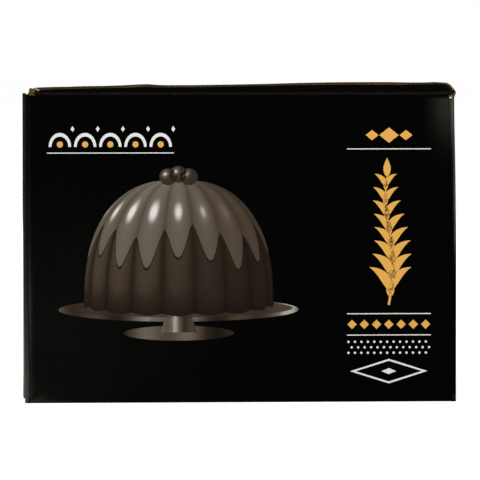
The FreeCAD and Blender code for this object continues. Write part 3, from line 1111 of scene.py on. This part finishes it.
def clear_of_ends(low, high):
    """Places along a cut edge for its medium, clear of the edge's ends."""
    inset = RECESS + MEDIUM_INSET
    return spread(low + inset, high - inset, CELL)


def body_runs():
    """The free edges of the side flaps above and below, and of the long bottom flaps."""
    runs = []
    for panel in ("left", "right"):
        for v in (DUST_END - MEDIUM_MIDDLE, SIDE_BOTTOM_END + MEDIUM_MIDDLE):
            runs.append([(along(panel, y), v) for y in clear_of_ends(*side_flap_ends(panel))])
    for panel in ("front", "back"):
        v = LONG_BOTTOM_END + MEDIUM_MIDDLE
        runs.append([(along(panel, x), v) for x in clear_of_ends(-SLOT_END, SLOT_END)])
    return runs


def long_run(side, left, right):
    """A top flap's free edge on its flat sheet."""
    return [(-side * x, TOP_FLAP_END - MEDIUM_MIDDLE) for x in clear_of_ends(left, right)]


lay_medium("flutes_front_flap", "front_flap", fold_top_flap(-1, FRONT_EDGE),
           [long_run(-1, FRONT_LOW.x, FRONT_HIGH.x)])
lay_medium("flutes_back_flap", "back_flap", fold_top_flap(1, BACK_EDGE),
           [long_run(1, BACK_LOW.x, BACK_HIGH.x)])
lay_medium("flutes_carton", "carton", fold_blank, body_runs())

# Films: thin closed skins between two curves, for ink and for torn bits of board

FILM_STEP = 0.02


def rows_between(low, high, shares, tone=1.0):
    """Rows of (x, z, tone) at shares of the way between two curves of as many (x, z) points."""
    rows = []
    for share in shares:
        row = [tuple(mix(p, q, share) for p, q in zip(a, b)) for a, b in zip(low, high)]
        rows.append([(x, z, tone(x, z) if callable(tone) else tone) for x, z in row])
    return rows


class Films:
    """Closed films over a surface that gives the point at a place and a lift, in millimetres."""

    def __init__(self, surface, cell=FILM_CELL):
        self.surface, self.cell = surface, cell
        self.mesh = bmesh.new()
        self.tone = self.mesh.verts.layers.float.new("tone")

    def grid(self, rows, top, under):
        """A film over rows of (x, z, tone), between two lifts."""
        sheets = []
        for lift in (top, under):
            sheet = []
            for row in rows:
                sheet.append([])
                for x, z, tone in row:
                    vertex = self.mesh.verts.new(self.surface(x, z, lift) * MM)
                    vertex[self.tone] = tone
                    sheet[-1].append(vertex)
            for near, far in zip(sheet, sheet[1:]):
                for a, b, c, d in zip(near, near[1:], far[1:], far):
                    self.mesh.faces.new((a, b, c, d))
            sheets.append(sheet)
        rims = [sheet[0] + [row[-1] for row in sheet[1:-1]] + sheet[-1][::-1]
                + [row[0] for row in sheet[-2:0:-1]] for sheet in sheets]
        upper, lower = rims
        for k in range(len(upper)):
            self.mesh.faces.new((upper[k - 1], upper[k], lower[k], lower[k - 1]))

    def add(self, low, high, tone=1.0, level=1):
        """A film between a low and a high curve of as many (x, z) points."""
        gap = max(math.dist(a, b) for a, b in zip(low, high))
        rows = rows_between(low, high, spread(0.0, 1.0, self.cell / gap), tone)
        self.grid(rows, level * FILM_STEP, -FILM_STEP)

    def finish(self, name, body, material):
        """The films as one piece that rides on a body."""
        bmesh.ops.remove_doubles(self.mesh, verts=self.mesh.verts, dist=0.001 * MM)
        bmesh.ops.recalc_face_normals(self.mesh, faces=self.mesh.faces)
        mesh = bpy.data.meshes.new(name)
        self.mesh.to_mesh(mesh)
        self.mesh.free()
        layer = mesh.uv_layers.new(name="flat_sheet")
        start = STARTS["front"] + HALF_WIDTH - CORNER_RADIUS
        for loop in mesh.loops:
            x, y, z = mesh.vertices[loop.vertex_index].co
            layer.data[loop.index].uv = (x + start * MM, z)
        return ride_on(add_object(name, mesh, [material]), body)


def stroke(points, width):
    """The two sides of a line, whose width is a number or follows the share of its length."""
    low, high = [], []
    last = len(points) - 1
    for k, (x, z) in enumerate(points):
        (x0, z0), (x1, z1) = points[max(k - 1, 0)], points[min(k + 1, last)]
        reach = (width(k / last) if callable(width) else width) / 2 / math.hypot(x1 - x0, z1 - z0)
        low.append((x + (z1 - z0) * reach, z - (x1 - x0) * reach))
        high.append((x - (z1 - z0) * reach, z + (x1 - x0) * reach))
    return low, high


def lens(x, z, half_width, half_height, steps=12):
    """The lower and upper curve of an ellipse."""
    return [arc(x, z, half_width, half_height, 180, end, steps) for end in (360, 0)]


def lozenge(x, z, half_width, half_height):
    """The lower and upper sides of a lozenge."""
    ends = (x - half_width, z), (x + half_width, z)
    return [(ends[0], (x, z + sign * half_height), ends[1]) for sign in (-1, 1)]


# Torn bits at the left slot: a tongue of kraft curled up from the dust flap, and a split liner


def curled(x, z, lift):
    """The tongue's surface, curling back as it rises from the dust flap's corner."""
    return Vector((x, 0.9 - SIDE_END + 0.05 * (z - WALL_TOP) ** 2 + 0.3 * math.sin(2.1 * x) - lift, z))


def split_front(x, z, lift):
    """A surface in front of the back flap's cut edge."""
    return Vector((x, -lift, z))


tongue = Films(curled)
tongue_foot = [(mix(-129.6, -126.4, k / 8), WALL_TOP - 0.25) for k in range(9)]
tongue_head = [(-129.8, 192.8), (-129.6, 194.0), (-129.2, 194.3), (-128.6, 194.1), (-128.0, 193.95),
               (-127.4, 193.7), (-126.9, 193.3), (-126.5, 192.9), (-126.1, 192.2)]
tongue.grid(rows_between(tongue_foot, tongue_head, spread(0, 1, 0.125)), 0.2, -0.2)
tongue.finish("curled_tongue", "carton", TONGUE)

split = Films(split_front)
split_line = [(-125.9, 193.3), (-125.3, 192.85), (-124.6, 192.5), (-123.9, 192.1), (-123.2, 191.8)]
split_sides = stroke(split_line, lambda share: 0.3 + 0.6 * math.sin(math.pi * share))
split.grid(rows_between(*split_sides, (0, 1)), 0.3, -0.15)
split.finish("split_liner", "back_flap", FIBRE)

# Print on the front wall: a generic baker's design in the colours and scale of such cartons


def printed(x, z, lift):
    """The front wall's outer skin."""
    return Vector((x, hollow("front", x, z) - HALF_DEPTH - lift, z))


CAKE_X = -38.0
CAKE_FOOT = 62.0
CAKE_HEIGHT = 76.0
CAKE_HALF = 58.0
CAKE_DIP = 7.0
CAKE_ROUND = 2.4
CAKE_STEPS = 24
LOBES = 9
LOBE_STEPS = 10
PICTURE_CELL = 3.0
BERRIES = [(-44.5, 139.5), (-31.5, 139.5), (-38.0, 141.0)]
SPRIG_X = 92.0
ARCH_PITCH = 15.5
ARCHES = [-111 + ARCH_PITCH * step for step in range(5)]
ARCH_Z = 158.0
RULES = [(-119, -41, 154.2), (66, 118, 156.5), (66, 118, 54.6), (66, 118, 41.4)]
BADGE_Z = 19.0


def cake_rows(low, tone):
    """Rows of the pictured cake from a low share of its height, by angle, up to its top."""
    rows = []
    for k in range(CAKE_STEPS + 1):
        row = []
        for step in range(LOBES * LOBE_STEPS + 1):
            turn = math.pi * (step / (LOBES * LOBE_STEPS) - 0.5)
            lobe = abs(math.cos(LOBES * turn))
            up = mix(low(turn, lobe), 1.0, k / CAKE_STEPS)
            radius = CAKE_HALF * (1 - up ** CAKE_ROUND) ** (1 / CAKE_ROUND) * (1 + 0.02 * lobe)
            dip = (CAKE_DIP * math.cos(turn) + 1.6 * lobe) * (1 - up) ** 2
            x = CAKE_X + radius * math.sin(turn)
            row.append((x, CAKE_FOOT + CAKE_HEIGHT * up - dip, tone(turn, lobe, up)))
        rows.append(row)
    return rows


def crumb_tone(turn, lobe, up):
    """Light on the cake's side, from the left, with dark grooves between the lobes."""
    light = 0.14 + 0.36 * max(0, math.cos(turn + 0.75)) * (0.6 + 0.6 * up)
    return light * (0.35 + 0.65 * lobe ** 0.5) * smooth(0.35 + 3 * up)


def icing_tone(turn, lobe, up):
    """Light on the icing, paler above, with a glint on each lobe."""
    light = 0.45 + 0.3 * math.cos(turn + 0.6) * (0.5 + 0.5 * up)
    glint = 0.42 * bell(up, 0.74, 0.07) * lobe ** 6 * max(0, math.cos(turn + 0.5))
    return light * (0.72 + 0.28 * lobe ** 0.6) + glint


def icing_edge(turn, lobe):
    """The share of the cake's height down to which the icing runs."""
    return 0.6 - 0.24 * lobe ** 1.6 + 0.05 * math.sin(5 * turn + 1)


def metal_tone(x, z):
    """Bands of light on the stand."""
    return 0.5 + 0.24 * math.sin((x - CAKE_X) / 13 + 2.2) + 0.16 * math.sin((x - CAKE_X) / 4.7)


def add_berry(berry_x, berry_z):
    """A berry on the cake, with a glint at its upper left."""

    def tone(x, z):
        return 0.28 + 0.75 * bell(math.hypot(x - berry_x + 1.8, z - berry_z - 1.7), 0, 2.0)

    picture.add(*lens(berry_x, berry_z, 5.4, 5.2, 16), tone=tone, level=4.5)


picture = Films(printed, PICTURE_CELL)
picture.add(*lens(CAKE_X, 43.0, 34.0, 4.6, 40), tone=lambda x, z: metal_tone(x, z) - 0.1)
neck_low = [(CAKE_X + x, 43.5) for x in spread(-11, 11, 2)]
neck_high = [(CAKE_X + x, 54.0) for x in spread(-8, 8, 16 / 11)]
picture.add(neck_low, neck_high, tone=lambda x, z: metal_tone(3 * x, z), level=2)
picture.add(*lens(CAKE_X, 57.5, 74.0, 7.4, 60), tone=metal_tone)
picture.add(*lens(CAKE_X, 58.4, 70.5, 5.6, 60), tone=lambda x, z: 0.2 + 0.3 * metal_tone(x, z), level=2)
picture.grid(cake_rows(lambda turn, lobe: 0.0, crumb_tone), 3 * FILM_STEP, -FILM_STEP)
picture.grid(cake_rows(lambda turn, lobe: icing_edge(turn, lobe) - 0.02, lambda *place: 0.1),
             3.5 * FILM_STEP, -FILM_STEP)
picture.grid(cake_rows(icing_edge, icing_tone), 4 * FILM_STEP, -FILM_STEP)
for place in BERRIES:
    add_berry(*place)
picture.finish("print_cake", "carton", CAKE_INK)


def stem_at(z):
    """Where the golden sprig's stem stands at a height."""
    return SPRIG_X + 2.2 * math.sin((z - 60) / 14)


def leaf_width(widest):
    """The width along a leaf, by the share of its length."""
    return lambda share: widest * math.sin(math.pi * share ** 0.8)


gold = Films(printed)
gold.add(*stroke([(stem_at(z), z) for z in spread(60, 140, 4)], lambda share: 1.5 - 0.8 * share))
for pair in range(8):
    root = 66 + 9.4 * pair
    length = 21 - 1.4 * pair
    for way in (-1, 1):
        leaf = arc(stem_at(root) + way * length * 0.93, root - 0.12 * length, length, length,
                   90 + way * 84, 90 + way * 18, 10)
        gold.add(*stroke(leaf, leaf_width(0.3 * length)))
gold.add(*stroke([(SPRIG_X - 1.2, z) for z in spread(139, 151, 1.5)], leaf_width(4.6)))
for step in range(-3, 4):
    gold.add(*lozenge(SPRIG_X + 7.6 * step, 48.0, 2.9, 2.9))
for step, size in ((-1, 3.2), (0, 4.8), (1, 3.2)):
    gold.add(*lozenge(SPRIG_X + 10.5 * step, 165.0, size * 1.25, size))
for arch_x in ARCHES:
    gold.add(*lens(arch_x, ARCH_Z + 1.5, 1.9, 1.9))
gold.finish("print_gold", "carton", GOLD_INK)

pale = Films(printed)
for arch_x in ARCHES:
    pale.add(*(arc(arch_x, ARCH_Z, *half, 180, 0, 16) for half in ((5.2, 6.4), (6.9, 8.6))))
    pale.add(*lozenge(arch_x + ARCH_PITCH / 2, 169.0, 1.2, 1.8))
for left, right, z in RULES:
    pale.add(*stroke([(x, z) for x in spread(left, right, FILM_CELL)], 0.6))
for row, shift in enumerate((-1, 1, -1)):
    for step in range(-6, 7):
        pale.add(*lens(SPRIG_X + 4.0 * step + shift, 37.2 - 3.4 * row, 0.75, 0.75, 6))
for band in zip(lozenge(SPRIG_X, BADGE_Z, 24, 7.6), lozenge(SPRIG_X, BADGE_Z, 20.6, 6.4)):
    pale.add(*band)
pale.add(*lozenge(SPRIG_X, BADGE_Z, 4.6, 1.9))
pale.finish("print_pale", "carton", PALE_INK)

# Camera: the photograph's, with its aim, slight roll and long lens

CAMERA_DISTANCE = 2600.0
CAMERA_YAW = math.radians(2.9)
CAMERA_HEIGHT = 212.0
CAMERA_AIM = Vector((-0.15, -HALF_DEPTH, 100.43))
CAMERA_ROLL = math.radians(-0.026)
CAMERA_LENS = 316.45


def add_camera():
    """The camera, aimed and rolled by its matrix."""
    away = Vector((-math.sin(CAMERA_YAW), -math.cos(CAMERA_YAW), 0)) * CAMERA_DISTANCE
    place = Vector((0, -HALF_DEPTH, CAMERA_HEIGHT)) + away
    forward = (CAMERA_AIM - place).normalized()
    right = forward.cross(Vector((0, 0, 1))).normalized()
    up = right.cross(forward)
    c, s = math.cos(CAMERA_ROLL), math.sin(CAMERA_ROLL)
    right, up = right * c + up * s, up * c - right * s
    camera = bpy.data.objects.new("camera", bpy.data.cameras.new("camera"))
    bpy.context.scene.collection.objects.link(camera)
    turn = Matrix((right, up, -forward)).transposed()
    camera.matrix_world = Matrix.Translation(place * MM) @ turn.to_4x4()
    camera.data.lens = CAMERA_LENS
    camera.data.sensor_width = 36
    bpy.context.scene.camera = camera


# Floor, world and lamps

FLOOR_HALF = 40.0
FLOOR_LEVEL = -0.02 * MM
FLOOR_GLOW = 0.7
WORLD_LIGHT = 0.37


def add_floor():
    """A floor that shows as white but for the carton's shadow, and is clear from below."""
    mesh = bpy.data.meshes.new("floor")
    ways = [(-1, -1), (1, -1), (1, 1), (-1, 1)]
    corners = [(x * FLOOR_HALF, y * FLOOR_HALF, FLOOR_LEVEL) for x, y in ways]
    mesh.from_pydata(corners, [], [(0, 1, 2, 3)])
    nodes = Nodes("floor_white")
    nodes.finish(rgb(230, 230, 230), 0.9, 0.0)
    glow = nodes.add("ShaderNodeEmission", Strength=nodes.math("MULTIPLY", nodes.seen(), FLOOR_GLOW))
    both = nodes.add("ShaderNodeAddShader")
    nodes.feed(both.inputs[0], nodes.shader.outputs["BSDF"])
    nodes.feed(both.inputs[1], glow.outputs["Emission"])
    below = nodes.add("ShaderNodeNewGeometry").outputs["Backfacing"]
    sheet = nodes.add("ShaderNodeMixShader", Fac=below)
    nodes.feed(sheet.inputs[1], both.outputs["Shader"])
    nodes.feed(sheet.inputs[2], nodes.add("ShaderNodeBsdfTransparent").outputs["BSDF"])
    output = nodes.tree.nodes["Material Output"]
    nodes.feed(output.inputs["Surface"], sheet.outputs["Shader"])
    floor = add_object("floor", mesh, [nodes.material])


def set_world():
    """Even pale light, with a white background to camera, glossy and transmission rays."""
    world = bpy.data.worlds.new("studio")
    bpy.context.scene.world = world
    world.use_nodes = True
    nodes = Tree(world.node_tree)
    strength = nodes.add("ShaderNodeMapRange", Value=nodes.seen(), To_Min=WORLD_LIGHT, To_Max=1.0)
    background = nodes.tree.nodes["Background"].inputs
    nodes.feed(background["Color"], rgb(255, 255, 255))
    nodes.feed(background["Strength"], strength.outputs["Result"])


def add_lamp(name, place, aim, size, power):
    """A square soft lamp aimed at a point, sizes in metres."""
    data = bpy.data.lights.new(name, "AREA")
    data.shape = "SQUARE"
    data.size = size
    data.energy = power
    lamp = bpy.data.objects.new(name, data)
    bpy.context.scene.collection.objects.link(lamp)
    lamp.location = place
    lamp.rotation_euler = (Vector(aim) - Vector(place)).to_track_quat("-Z", "Y").to_euler()


add_camera()
add_floor()
set_world()
add_lamp("key_lamp", (-0.9, -2.0, 1.5), (0, 0, 0.1), 1.4, 30)
add_lamp("fill_lamp", (1.6, -1.4, 1.2), (0, 0, 0.1), 1.4, 14)
add_lamp("back_lamp", (0.3, 2.0, 1.6), (0, 0, 0.1), 1.6, 16)
bpy.context.scene.view_settings.view_transform = "Standard"
